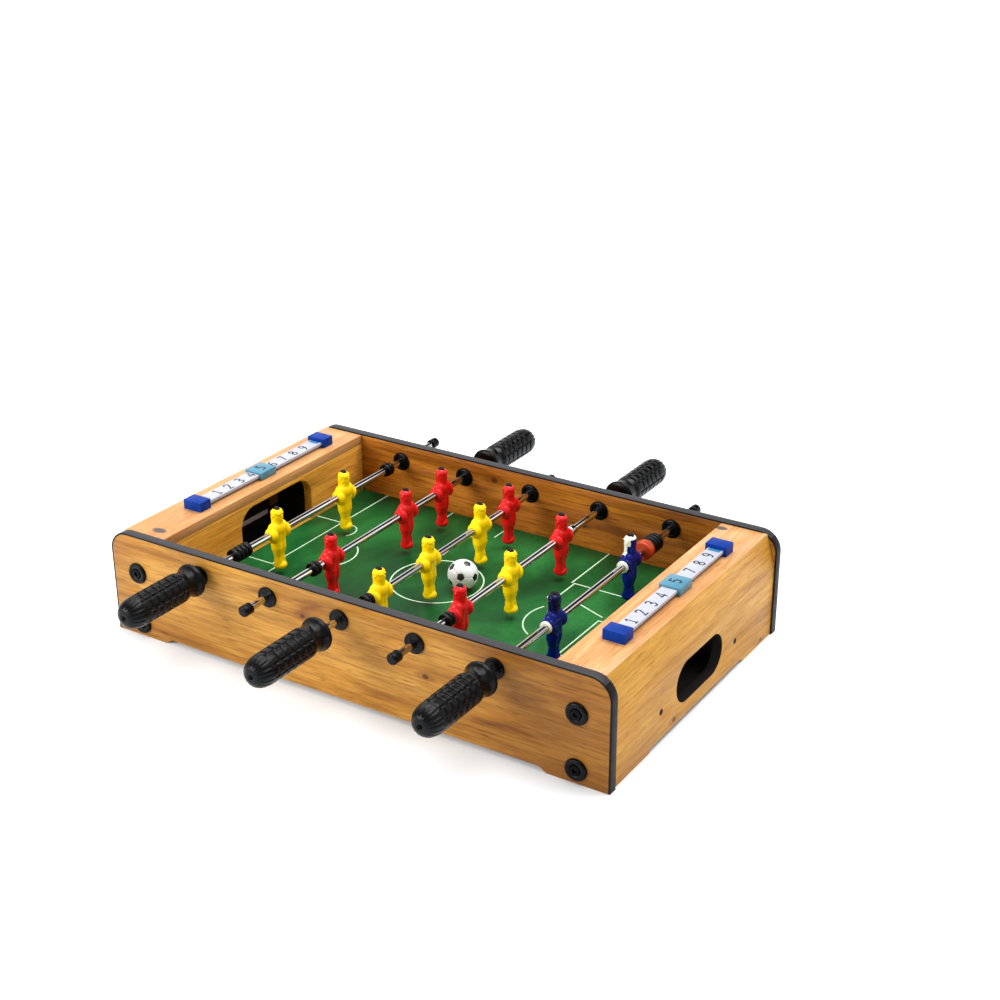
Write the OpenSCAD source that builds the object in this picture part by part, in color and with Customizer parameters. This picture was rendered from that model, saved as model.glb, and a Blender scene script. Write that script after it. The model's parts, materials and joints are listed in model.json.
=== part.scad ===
// Tabletop foosball table: an open wooden box with a green pitch, five sliding and spinning
// player rods, ball pockets behind both goals and a bead scorer on each end.
// Frame: X along the pitch, Y along the rods (front is -Y), Z up, origin under the middle.

/* [Box] */
// Length of the table along the pitch
table_l = 510; // [500:2:540]
// Width over the two side panels
table_w = 310; // [306:2:320]
// Height of the side panels with their edge trim
table_h = 99; // [98:0.5:102]
// Thickness of every wooden board
board_t = 9; // [8:0.5:9]
// Radius of the side panels' upper corners
corner_r = 19; // [14:1:22]
// Thickness of the plastic edge trim
trim_t = 1.6; // [1.2:0.1:2]
// Height of the finger gap under each side panel
foot_gap_h = 4.5; // [3:0.5:6]
// Length of the foot at each end of a side panel
foot_l = 56; // [40:2:80]

/* [Ends and goals] */
// Depth of the box behind each goal, from the table's end to the goal face
end_l = 54.3; // [54:0.1:58]
// Height at which the end starts to lean inwards
slope_z = 67.5; // [66:0.5:70]
// How far the end leans inwards at its top
slope_run = 8.3; // [7:0.1:10]
// Width of a goal mouth
goal_w = 104; // [90:1:106]
// Height of a goal mouth above the pitch
goal_h = 46; // [40:1:48]
// Radius of a goal mouth's upper corners
goal_r = 19; // [10:1:22]
// How far the left goal mouth sits towards the back from the middle
left_goal_y = 10; // [0:1:10]
// Width of the oval ball return hole in the right end
return_w = 85; // [70:1:90]
// Height of the oval ball return hole
return_h = 38; // [34:1:38]

/* [Pitch and ball] */
// Height of the pitch surface
pitch_z = 38; // [37:0.5:39]
// Thickness of the pitch board
pitch_t = 3; // [2:0.5:4]
// Diameter of the ball
ball_d = 28; // [24:1:28]

/* [Rods] */
// Height of the rods' centre line
rod_z = 80; // [80:0.5:81]
// Distance between neighbouring rods
rod_step = 75.5; // [75.2:0.1:76]
// Diameter of a rod
rod_d = 6.5; // [6:0.1:7]
// Length of a handle
handle_l = 86; // [80:1:100]
// Diameter of the bell at a handle's table end
bell_d = 30; // [24:1:30]
// Diameter of a handle's grip
grip_d = 27; // [22:0.5:27]
// Outside diameter of the bush flanges
bush_flange_d = 18.5; // [17:0.5:20]

/* [Players] */
// Height of a field player's head above the rod
head_up = 25.5; // [22:0.5:28]
// Height of a keeper's head above the rod
keeper_head_up = 28; // [22:0.5:28]
// Reach of a player's foot below the rod
foot_reach = 37; // [35:0.5:37]
// Width of a player across the shoulders
shoulder_w = 27; // [20:0.5:27]

/* [Scorers] */
// Length of a scorer over its end blocks
scorer_l = 196; // [180:2:200]
// Width of a scorer's rail
rail_w = 14.5; // [13:0.5:15]
// Width of the end blocks and of the bead
bead_w = 20; // [19:0.5:22]
// Length of a score bead along its rail
bead_l = 22; // [18:1:24]
// How far the left scorer sits towards the back from the middle
left_scorer_y = 14; // [0:1:20]

/* [Hidden] */
$fn = 48;
inside_w = table_w - 2 * board_t;
inner_y = inside_w / 2;
outer_y = table_w / 2;
end_rise = 0.2;
top_z = table_h - trim_t + end_rise;
goal_x = table_l / 2 - end_l;
pitch_l = 2 * goal_x;
cut = 0.5;

// Fits
thread_fit = 0.02;
running_fit = 0.05;
rod_r = rod_d / 2;
press_r = rod_r + thread_fit;
running_r = rod_r + running_fit;

// Edge trim: a strip with a barb pressed into a groove round the panel's edge
barb_l = 5;
barb_t = 1.2;
groove_l = 5.3;
groove_t = 1.3;
foot_slant = 8;

// End box: board corners are mitred, so each inner corner follows from the outer one
end_face = trim_t;
slope_top = end_face + slope_run;
slope_len = norm([slope_run, top_z - slope_z]);
slope_in = [(top_z - slope_z) / slope_len, -slope_run / slope_len];
wall_in = [1, 0];
top_in = [0, -1];
low_outer = [end_face, slope_z];
low_inner = mitre(low_outer, wall_in, slope_in);
high_outer = [slope_top, top_z];
high_inner = mitre(high_outer, slope_in, top_in);
cavity_e0 = end_face + board_t;
cavity_e1 = end_l - board_t;

// Ball return tray behind each goal
tray_z = 5;
tray_t = 5;
guide_y = 63;
guide_t = 12;
guide_top = 60;
tray_w = 2 * (guide_y + guide_t);
return_sill = 7;
return_z = tray_z + tray_t + return_sill + return_h / 2;
end_relief_h = 3.5;
end_relief_w = 180;

// Corner blocks and the screws that hold the side panels on
block_t = 20;
block_top = 76;
corner_screw_e = 30;
corner_screw_z = [13, 63];
corner_screw_r = 2.5;
corner_screw_tip = 16;
cap_r = 9.8;
cap_t = 3.2;
cap_web = 1.4;
cap_clearance = 0.2;
head_r = 4.6;
head_t = 1.6;
hex_r = 2.4;
hex_depth = 1.3;

// Small screws through the end walls into the tray guides
end_screw_y = guide_y + guide_t / 2;
end_screw_z = 29;
end_screw_r = 1.5;
end_screw_head_r = 3;
end_screw_head_t = 1.6;
end_screw_l = 24;
cross_w = 0.8;
cross_l = 4;
cross_depth = 0.9;

// Battens under the pitch board
batten_w = 10;
batten_h = 12;

// Rod bushes: a flanged sleeve from outside and a flanged nut from inside
sleeve_r = 6;
panel_hole_r = 6.1;
flange_r = bush_flange_d / 2;
flange_t = 2.2;

// Rods, from the front to the back of the table. handle_side is -1 at the front, 1 at the back.
rods = [0, 1, 2, 3, 4];
handle_side = [-1, 1, -1, 1, -1];
handle_gap = [7, 26, 26, 26, 16];
spare_l = 59;
rod_in_handle = 70;
cap_l = 10;
cap_outer_r = 5;
cap_end_t = 1.5;
cap_chamfer = 1;
player_y = [
    [-49, 51],
    [-67, 47, 106],
    [-99, -26, 57, 107],
    [-89.5, -11, 75.6],
    [-64.4, 65.6]
];
team = [
    ["gold", "gold"],
    ["red", "red", "red"],
    ["gold", "gold", "gold", "red"],
    ["red", "gold", "red"],
    ["mediumblue", "mediumblue"]
];

// Handle outline: [distance inside the bell's or the grip's radius, distance from the bell's face].
// The last points before the dome are measured back from the handle's tip.
bell_profile = [
    [8, 0], [4.5, 0.6], [1.2, 1.8], [0.2, 3],
    [0, 4.5], [0.6, 6.2], [2, 8.4], [3, 11.5]
];
grip_profile = [[1.6, 14.5], [1.5, 16.5], [0.7, 18.5], [0, 21]];
tip_profile = [[0, 22], [1, 10]];
dome_r = grip_d / 2 - 1.5;
dome_h = dome_r / 2;
dome_step = 15;
tip_hole_r = 1.6;
tip_hole_depth = 3;

// Rubber bumpers on each rod: [start, length, outer radius, number of grooves]
bumpers = [
    [[-112, 20, 7, 3], [117, 8, 6.5, 1]],
    [[-96, 8, 6.5, 1]],
    [[-121, 8, 6.5, 1]],
    [[-113, 8, 6.5, 1], [89.6, 8, 4.8, 0]],
    [[88, 9, 9, 0], [97.5, 17, 8.5, 3]]
];
bumper_groove = 1.2;

// Player proportions. Heights are from the rod's centre line, widths are [along X, along Y].
face_r = 6.5;
neck_r = 5.8;
neck_z = 10;
keeper_rod = 4;
chest = [13, 20];
chest_z = [-9, 11];
arm_r = 7.2;
hips = [10.6, 15];
hips_z = [-19, -8];
leg_y = 3.4;
leg_z = [-31, -18];
ankle_r = 4;
knee_r = 3.7;
foot = [14.4, 15];
foot_top_z = -29.5;
round_r = 3.5;

// Scorers
scorer_e = 31;
left_scorer_e = 34;
end_block_l = 14;
end_block_h = 9;
peg_r = 2;
peg_l = 6;
rail_head_z = 2.5;
rail_top_z = 5.5;
rail_foot_w = 9;
rail_in_block = 5;
rail_l = scorer_l - 2 * end_block_l + 2 * rail_in_block;
bead_bottom = 0.4;
bead_h = 7.6;
bead_fit = 0.1;
left_bead_y = -1;
right_bead_y = 8;

// Where the ball stands
ball_x = 10;
ball_y = 13;
ball_lift = 0.3;

FRAME_NODES = [
    "front_panel", "back_panel", "edge_trims", "left_goal_wall", "right_goal_wall",
    "left_top_board", "right_top_board", "left_slope_board", "right_slope_board",
    "left_end_wall", "right_end_wall", "pitch_board", "pitch_battens", "corner_blocks",
    "tray_floors", "tray_guides", "corner_screws", "screw_caps", "end_wall_screws",
    "bush_sleeves", "bush_nuts", "scorer_rails", "scorer_end_blocks",
    "left_score_bead", "right_score_bead", "ball"
];

function rod_part(i, part) = str("rod", i + 1, "_", part);
function player_name(i, k) = str("rod", i + 1, "_player", k + 1);
function rod_x(i) = (i - 2) * rod_step;
// The inner corner of two boards that meet at p, with inward normals a and b
function mitre(p, a, b) = p + board_t * (a + b) / (1 + a * b);

// Extrudes a shape drawn in X and Z along Y, centred
module along_y(w) {
    rotate([90, 0, 0])
        linear_extrude(height = w, center = true)
            children();
}

// A cylinder along +Y that starts at y0
module rod_y(r, y0, l) {
    translate([0, y0, 0])
        rotate([-90, 0, 0])
            cylinder(r = r, h = l);
}

// Children drawn for the left end, seen from the table's end
module at_left() {
    translate([-table_l / 2, 0, 0])
        children();
}

module at_right() {
    mirror([1, 0, 0])
        at_left()
            children();
}

module at_front_and_back() {
    for (side = [0, 1])
        mirror([0, side, 0])
            children();
}

module at_both_ends() {
    at_left()
        children();
    at_right()
        children();
}

// Outline of a side panel, moved in by inset. Its bottom runs on below the table.
module panel_outline(inset) {
    half = table_l / 2 - inset;
    top = table_h - inset;
    r = max(corner_r - inset, 1);
    translate([-half, -2 * corner_r])
        square([2 * half, 2 * corner_r + top - r]);
    translate([-half + r, 0])
        square([2 * (half - r), top]);
    for (s = [-1, 1])
        translate([s * (half - r), top - r])
            circle(r = r, $fn = 64);
}

module above_floor() {
    intersection() {
        children();
        translate([-table_l, 0])
            square([2 * table_l, 2 * table_h]);
    }
}

// The gap between the two feet along a panel's lower edge
module foot_gap(half, h) {
    polygon([[-half - cut, -cut], [-half + foot_slant, h], [half - foot_slant, h], [half + cut, -cut]]);
}

module side_panel() {
    color("burlywood")
        difference() {
            translate([0, -outer_y + board_t / 2, 0])
                along_y(board_t)
                    above_floor()
                        difference() {
                            panel_outline(trim_t);
                            foot_gap(table_l / 2 - foot_l, foot_gap_h);
                        }
            translate([0, -outer_y + board_t / 2, 0])
                along_y(groove_t)
                    difference() {
                        panel_outline(trim_t - cut);
                        panel_outline(trim_t + groove_l);
                    }
            for (i = rods)
                translate([rod_x(i), 0, rod_z])
                    rod_y(panel_hole_r, -outer_y - cut, board_t + 2 * cut);
            for (s = [-1, 1])
                for (z = corner_screw_z)
                    translate([s * (table_l / 2 - corner_screw_e), 0, z])
                        rod_y(corner_screw_r + thread_fit, -outer_y - cut, board_t + 2 * cut);
        }
}

module front_panel() {
    side_panel();
}

module back_panel() {
    mirror([0, 1, 0])
        side_panel();
}

module edge_trims() {
    color("dimgray")
        at_front_and_back()
            translate([0, -outer_y + board_t / 2, 0]) {
                along_y(board_t)
                    above_floor()
                        difference() {
                            panel_outline(0);
                            panel_outline(trim_t);
                        }
                along_y(barb_t)
                    above_floor()
                        difference() {
                            panel_outline(trim_t - cut);
                            panel_outline(trim_t + barb_l);
                        }
            }
}

// Goal mouth, with its lower edge level with the pitch
module goal_mouth(depth) {
    half = goal_w / 2;
    rotate([0, 90, 0])
        rotate([0, 0, 90])
            linear_extrude(height = depth) {
                translate([-half, pitch_z])
                    square([goal_w, goal_h - goal_r]);
                translate([-half + goal_r, pitch_z])
                    square([goal_w - 2 * goal_r, goal_h]);
                for (s = [-1, 1])
                    translate([s * (half - goal_r), pitch_z + goal_h - goal_r])
                        circle(r = goal_r);
            }
}

module goal_wall(mouth_y) {
    color("burlywood")
        difference() {
            translate([cavity_e1, -inner_y, tray_z])
                cube([board_t, inside_w, top_z - board_t - tray_z]);
            translate([cavity_e1 - cut, mouth_y, 0])
                goal_mouth(board_t + 2 * cut);
        }
}

module left_goal_wall() {
    at_left()
        goal_wall(left_goal_y);
}

module right_goal_wall() {
    at_right()
        goal_wall(0);
}

// A top board, with peg holes for the scorer that stands at e and y
module top_board(e, y) {
    color("navajowhite")
        difference() {
            along_y(inside_w)
                polygon([high_outer, [end_l, top_z], [end_l, top_z - board_t], high_inner]);
            for (s = [-1, 1])
                translate([e, y + s * (scorer_l - end_block_l) / 2, top_z - peg_l - cut])
                    cylinder(r = peg_r + thread_fit, h = peg_l + 2 * cut);
        }
}

module left_top_board() {
    at_left()
        top_board(left_scorer_e, left_scorer_y);
}

module right_top_board() {
    at_right()
        top_board(scorer_e, 0);
}

module slope_board() {
    color("navajowhite")
        along_y(inside_w)
            polygon([low_outer, high_outer, high_inner, low_inner]);
}

module left_slope_board() {
    at_left()
        slope_board();
}

module right_slope_board() {
    at_right()
        slope_board();
}

module return_hole(depth) {
    r = return_h / 2;
    rotate([0, 90, 0])
        rotate([0, 0, 90])
            linear_extrude(height = depth)
                translate([0, return_z]) {
                    square([return_w - return_h, return_h], center = true);
                    for (s = [-1, 1])
                        translate([s * (return_w / 2 - r), 0])
                            circle(r = r);
                }
}

module end_screw_shape(fit) {
    rotate([0, 90, 0]) {
        cylinder(r1 = end_screw_head_r + fit, r2 = end_screw_r + fit, h = end_screw_head_t);
        cylinder(r = end_screw_r + fit, h = end_screw_l + fit);
    }
}

module at_end_screws() {
    for (s = [-1, 1])
        translate([end_face, s * end_screw_y, end_screw_z])
            children();
}

module end_wall() {
    difference() {
        along_y(inside_w)
            polygon([[end_face, 0], low_outer, low_inner, [cavity_e0, 0]]);
        translate([end_face - cut, 0, 0])
            rotate([0, 90, 0])
                rotate([0, 0, 90])
                    linear_extrude(height = board_t + 2 * cut)
                        foot_gap(end_relief_w / 2, end_relief_h);
        at_end_screws()
            end_screw_shape(thread_fit);
    }
}

module left_end_wall() {
    color("burlywood")
        at_left()
            end_wall();
}

module right_end_wall() {
    color("burlywood")
        at_right()
            difference() {
                end_wall();
                translate([end_face - cut, 0, 0])
                    return_hole(board_t + 2 * cut);
            }
}

module end_wall_screws() {
    color("dimgray")
        at_both_ends()
            at_end_screws()
                difference() {
                    end_screw_shape(0);
                    for (turn = [0, 90])
                        rotate([turn, 0, 0])
                            translate([-cut, -cross_w / 2, -cross_l / 2])
                                cube([cut + cross_depth, cross_w, cross_l]);
                }
}

module pitch_board() {
    color("green")
        translate([-goal_x, -inner_y, pitch_z - pitch_t])
            cube([pitch_l, inside_w, pitch_t]);
}

module pitch_battens() {
    color("tan")
        at_front_and_back()
            translate([-goal_x, -inner_y, pitch_z - pitch_t - batten_h])
                cube([pitch_l, batten_w, batten_h]);
}

module corner_blocks() {
    block_lean = low_inner[0] + (block_top - low_inner[1]) * slope_run / (top_z - slope_z);
    color("tan")
        at_both_ends()
            at_front_and_back()
                difference() {
                    translate([0, -inner_y + block_t / 2, 0])
                        along_y(block_t)
                            polygon([
                                [cavity_e0, tray_z],
                                low_inner,
                                [block_lean, block_top],
                                [cavity_e1, block_top],
                                [cavity_e1, tray_z]
                            ]);
                    for (z = corner_screw_z)
                        translate([corner_screw_e, 0, z])
                            rod_y(corner_screw_r + thread_fit, -inner_y - cut, corner_screw_tip + 2 * cut);
                }
}

module tray_floors() {
    color("tan")
        at_both_ends()
            translate([cavity_e0, -tray_w / 2, tray_z])
                cube([cavity_e1 - cavity_e0, tray_w, tray_t]);
}

module tray_guides() {
    color("tan")
        at_both_ends()
            difference() {
                at_front_and_back()
                    translate([cavity_e0, guide_y, tray_z + tray_t])
                        cube([cavity_e1 - cavity_e0, guide_t, guide_top - tray_z - tray_t]);
                at_end_screws()
                    end_screw_shape(thread_fit);
            }
}

module at_corner_screws() {
    at_both_ends()
        at_front_and_back()
            for (z = corner_screw_z)
                translate([corner_screw_e, -outer_y, z])
                    children();
}

module corner_screws() {
    color("dimgray")
        at_corner_screws()
            difference() {
                union() {
                    rod_y(head_r, -cap_web - head_t, head_t);
                    rod_y(corner_screw_r, -cap_web, cap_web + board_t + corner_screw_tip);
                }
                translate([0, -cap_web - head_t - cut, 0])
                    rotate([-90, 0, 0])
                        cylinder(r = hex_r, h = hex_depth + cut, $fn = 6);
            }
}

module screw_caps() {
    color("black")
        at_corner_screws()
            difference() {
                rod_y(cap_r, -cap_t, cap_t);
                rod_y(head_r + cap_clearance, -cap_t - cut, cap_t - cap_web + cut);
                rod_y(corner_screw_r + thread_fit, -cap_t, cap_t + cut);
            }
}

module at_bushes() {
    for (i = rods)
        at_front_and_back()
            translate([rod_x(i), 0, rod_z])
                children();
}

module bush_sleeves() {
    color("black")
        at_bushes()
            difference() {
                union() {
                    rod_y(flange_r, -outer_y - flange_t, flange_t);
                    rod_y(sleeve_r, -outer_y - flange_t, board_t + 2 * flange_t);
                }
                rod_y(running_r, -outer_y - flange_t - cut, board_t + 2 * flange_t + 2 * cut);
            }
}

module bush_nuts() {
    color("black")
        at_bushes()
            difference() {
                rod_y(flange_r, -inner_y, flange_t);
                rod_y(sleeve_r + thread_fit, -inner_y - cut, flange_t + 2 * cut);
            }
}

// Cross-section of a scorer's rail: a wide head on a narrow foot
module rail_section(grow) {
    translate([-rail_foot_w / 2 - grow, -grow])
        square([rail_foot_w + 2 * grow, rail_head_z + grow]);
    translate([-rail_w / 2 - grow, rail_head_z - grow])
        square([rail_w + 2 * grow, rail_top_z - rail_head_z + 2 * grow]);
}

// Children drawn for a scorer, at the middle of its rail on the top board
module at_left_scorer() {
    at_left()
        translate([left_scorer_e, left_scorer_y, top_z])
            children();
}

module at_right_scorer() {
    at_right()
        translate([scorer_e, 0, top_z])
            children();
}

module at_scorers() {
    at_left_scorer()
        children();
    at_right_scorer()
        children();
}

module scorer_rails() {
    color("white")
        at_scorers()
            along_y(rail_l)
                rail_section(0);
}

module scorer_end_blocks() {
    color("royalblue")
        at_scorers()
            difference() {
                for (s = [-1, 1])
                    translate([0, s * (scorer_l - end_block_l) / 2, 0]) {
                        translate([-bead_w / 2, -end_block_l / 2, 0])
                            cube([bead_w, end_block_l, end_block_h]);
                        translate([0, 0, -peg_l])
                            cylinder(r = peg_r, h = peg_l + cut);
                    }
                along_y(rail_l + 2 * thread_fit)
                    rail_section(thread_fit);
            }
}

// A bead on its rail, y from the rail's middle
module score_bead(y) {
    translate([0, y, 0])
        difference() {
            translate([-bead_w / 2, -bead_l / 2, bead_bottom])
                cube([bead_w, bead_l, bead_h - bead_bottom]);
            along_y(bead_l + 2 * cut)
                rail_section(bead_fit);
        }
}

module left_score_bead() {
    color("lightblue")
        at_left_scorer()
            score_bead(left_bead_y);
}

module right_score_bead() {
    color("lightblue")
        at_right_scorer()
            score_bead(right_bead_y);
}

module ball() {
    color("white")
        translate([ball_x, ball_y, pitch_z + ball_d / 2 + ball_lift])
            sphere(d = ball_d);
}

// Children drawn for a rod with its handle at the front
module on_rod(i) {
    translate([rod_x(i), 0, rod_z])
        mirror([0, max(handle_side[i], 0), 0])
            children();
}

module rod_bar(i) {
    start = -outer_y - handle_gap[i] - rod_in_handle;
    tip = outer_y + spare_l - handle_gap[i] - cap_end_t;
    color("silver")
        on_rod(i)
            rod_y(rod_r, start, tip - start);
}

// Half outline of a handle, from its bell at 0 to its domed end at handle_l
module handle_outline() {
    polygon(concat(
        [[0, 0]],
        [for (p = bell_profile) [bell_d / 2 - p[0], p[1]]],
        [for (p = grip_profile) [grip_d / 2 - p[0], p[1]]],
        [for (p = tip_profile) [grip_d / 2 - p[0], handle_l - p[1]]],
        [for (a = [0:dome_step:90 - dome_step])
            [dome_r * cos(a), handle_l - dome_h + dome_h * sin(a)]],
        [[0, handle_l]]
    ));
}

module rod_handle(i) {
    color("black")
        on_rod(i)
            translate([0, -outer_y - handle_gap[i], 0])
                rotate([90, 0, 0])
                    difference() {
                        rotate_extrude()
                            handle_outline();
                        translate([0, 0, -cut])
                            cylinder(r = press_r, h = rod_in_handle + thread_fit + cut);
                        translate([0, 0, handle_l - tip_hole_depth])
                            cylinder(r = tip_hole_r, h = tip_hole_depth + cut);
                    }
}

module rod_end_cap(i) {
    tip = outer_y + spare_l - handle_gap[i];
    color("black")
        on_rod(i)
            difference() {
                union() {
                    rod_y(cap_outer_r, tip - cap_l, cap_l - cap_chamfer);
                    translate([0, tip - cap_chamfer, 0])
                        rotate([-90, 0, 0])
                            cylinder(r1 = cap_outer_r, r2 = cap_outer_r - cap_chamfer, h = cap_chamfer);
                }
                rod_y(press_r, tip - cap_l - cut, cap_l - cap_end_t + cut + thread_fit);
            }
}

module bumper(start, l, r, grooves) {
    pitch = l / (grooves + 1);
    difference() {
        rod_y(r, start, l);
        rod_y(running_r, start - cut, l + 2 * cut);
        for (k = [1:1:grooves])
            difference() {
                rod_y(r + cut, start + k * pitch - bumper_groove / 2, bumper_groove);
                rod_y(r - bumper_groove, start + k * pitch - bumper_groove, 2 * bumper_groove);
            }
    }
}

module rod_bumpers(i) {
    color("black")
        translate([rod_x(i), 0, rod_z])
            for (b = bumpers[i])
                bumper(b[0], b[1], b[2], b[3]);
}

// A block with rounded upright edges, size = [x, y]
module rounded_block(size, z0, z1) {
    r = round_r;
    translate([0, 0, z0])
        linear_extrude(height = z1 - z0) {
            square([size[0] - 2 * r, size[1]], center = true);
            square([size[0], size[1] - 2 * r], center = true);
            for (sx = [-1, 1])
                for (sy = [-1, 1])
                    translate([sx * (size[0] / 2 - r), sy * (size[1] / 2 - r)])
                        circle(r = r, $fn = 32);
        }
}

// A moulded player round its rod, which runs along Y through the chest
module player_shape(head_top) {
    difference() {
        union() {
            translate([0, 0, head_top - face_r])
                sphere(r = face_r);
            translate([0, 0, neck_z])
                cylinder(r = neck_r, h = head_top - face_r - neck_z);
            rounded_block(chest, chest_z[0], chest_z[1]);
            rod_y(arm_r, -shoulder_w / 2, shoulder_w);
            rounded_block(hips, hips_z[0], hips_z[1]);
            for (s = [-1, 1])
                translate([0, s * leg_y, leg_z[0]])
                    cylinder(r1 = ankle_r, r2 = knee_r, h = leg_z[1] - leg_z[0]);
            intersection() {
                rounded_block(foot, -foot_reach, foot_top_z);
                rod_y(foot_reach, -foot[1], 2 * foot[1]);
            }
        }
        rod_y(press_r, -shoulder_w, 2 * shoulder_w);
    }
}

module rod_player(i, k) {
    color(team[i][k])
        translate([rod_x(i), player_y[i][k], rod_z])
            player_shape(i == keeper_rod ? keeper_head_up : head_up);
}

front_panel();
back_panel();
edge_trims();
left_goal_wall();
right_goal_wall();
left_top_board();
right_top_board();
left_slope_board();
right_slope_board();
left_end_wall();
right_end_wall();
pitch_board();
pitch_battens();
corner_blocks();
tray_floors();
tray_guides();
corner_screws();
screw_caps();
end_wall_screws();
bush_sleeves();
bush_nuts();
scorer_rails();
scorer_end_blocks();
left_score_bead();
right_score_bead();
ball();
for (i = rods) rod_bar(i);
for (i = rods) rod_handle(i);
for (i = rods) rod_end_cap(i);
for (i = rods) rod_bumpers(i);
for (i = rods)
    for (k = [0:len(player_y[i]) - 1])
        rod_player(i, k);
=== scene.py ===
"""Looks of the tabletop foosball table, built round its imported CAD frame.

Lengths in this file are millimetres unless a name says otherwise; MM turns them into metres.
"""

import json
from itertools import combinations
from math import cos, hypot, pi, radians, sin, sqrt

import bmesh
import bpy
import numpy as np
from mathutils import Matrix, Vector, noise

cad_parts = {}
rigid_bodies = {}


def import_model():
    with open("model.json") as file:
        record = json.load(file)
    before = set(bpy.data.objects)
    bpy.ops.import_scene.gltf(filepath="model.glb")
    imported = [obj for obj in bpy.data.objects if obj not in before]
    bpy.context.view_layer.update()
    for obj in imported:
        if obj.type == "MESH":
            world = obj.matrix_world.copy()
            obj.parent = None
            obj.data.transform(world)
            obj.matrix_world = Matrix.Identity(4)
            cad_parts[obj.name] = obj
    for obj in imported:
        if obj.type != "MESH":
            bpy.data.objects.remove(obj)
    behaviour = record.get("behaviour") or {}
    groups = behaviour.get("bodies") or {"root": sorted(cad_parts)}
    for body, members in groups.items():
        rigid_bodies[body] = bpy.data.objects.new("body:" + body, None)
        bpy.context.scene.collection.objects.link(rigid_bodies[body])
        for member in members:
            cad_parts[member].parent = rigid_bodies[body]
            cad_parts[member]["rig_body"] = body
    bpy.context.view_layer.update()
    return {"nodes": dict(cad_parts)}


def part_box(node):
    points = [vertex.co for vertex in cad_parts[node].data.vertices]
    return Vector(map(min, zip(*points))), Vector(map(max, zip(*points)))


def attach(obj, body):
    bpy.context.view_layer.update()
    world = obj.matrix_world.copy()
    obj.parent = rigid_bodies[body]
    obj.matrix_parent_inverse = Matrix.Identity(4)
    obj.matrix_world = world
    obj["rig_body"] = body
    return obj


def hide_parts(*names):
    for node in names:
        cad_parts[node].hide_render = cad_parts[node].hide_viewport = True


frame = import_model()

MM = 0.001


def box_mm(node):
    """A CAD node's lowest and highest corners at rest."""
    return [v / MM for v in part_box(node)]


# Places taken from the CAD nodes
RODS = (1, 2, 3, 4, 5)
OUTER_Y = box_mm("edge_trims")[1].y
ROD_Z = sum(v.z for v in box_mm("rod3_bar")) / 2
PITCH_Z = box_mm("pitch_board")[1].z
TOP_Z = box_mm("left_top_board")[1].z
INNER_Y = box_mm("pitch_board")[1].y
GOAL_X = box_mm("pitch_board")[1].x
ROD_X = {i: sum(v.x for v in box_mm(f"rod{i}_bar")) / 2 for i in RODS}
HANDLE_SIDE = {i: (-1 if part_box(f"rod{i}_handle")[0].y < 0 else 1) for i in RODS}
# Middle of each scorer, from the middle of the table towards the back
SCORER_Y = {"left": 14, "right": 0}


# ---------------------------------------------------------------- materials


def srgb(r, g, b):
    """A 0-255 sRGB colour as linear RGBA."""
    values = [c / 255 for c in (r, g, b)]
    linear = [c / 12.92 if c <= 0.04045 else ((c + 0.055) / 1.055) ** 2.4 for c in values]
    return (*linear, 1.0)


COAT_ROUGHNESS = 0.15


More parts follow.
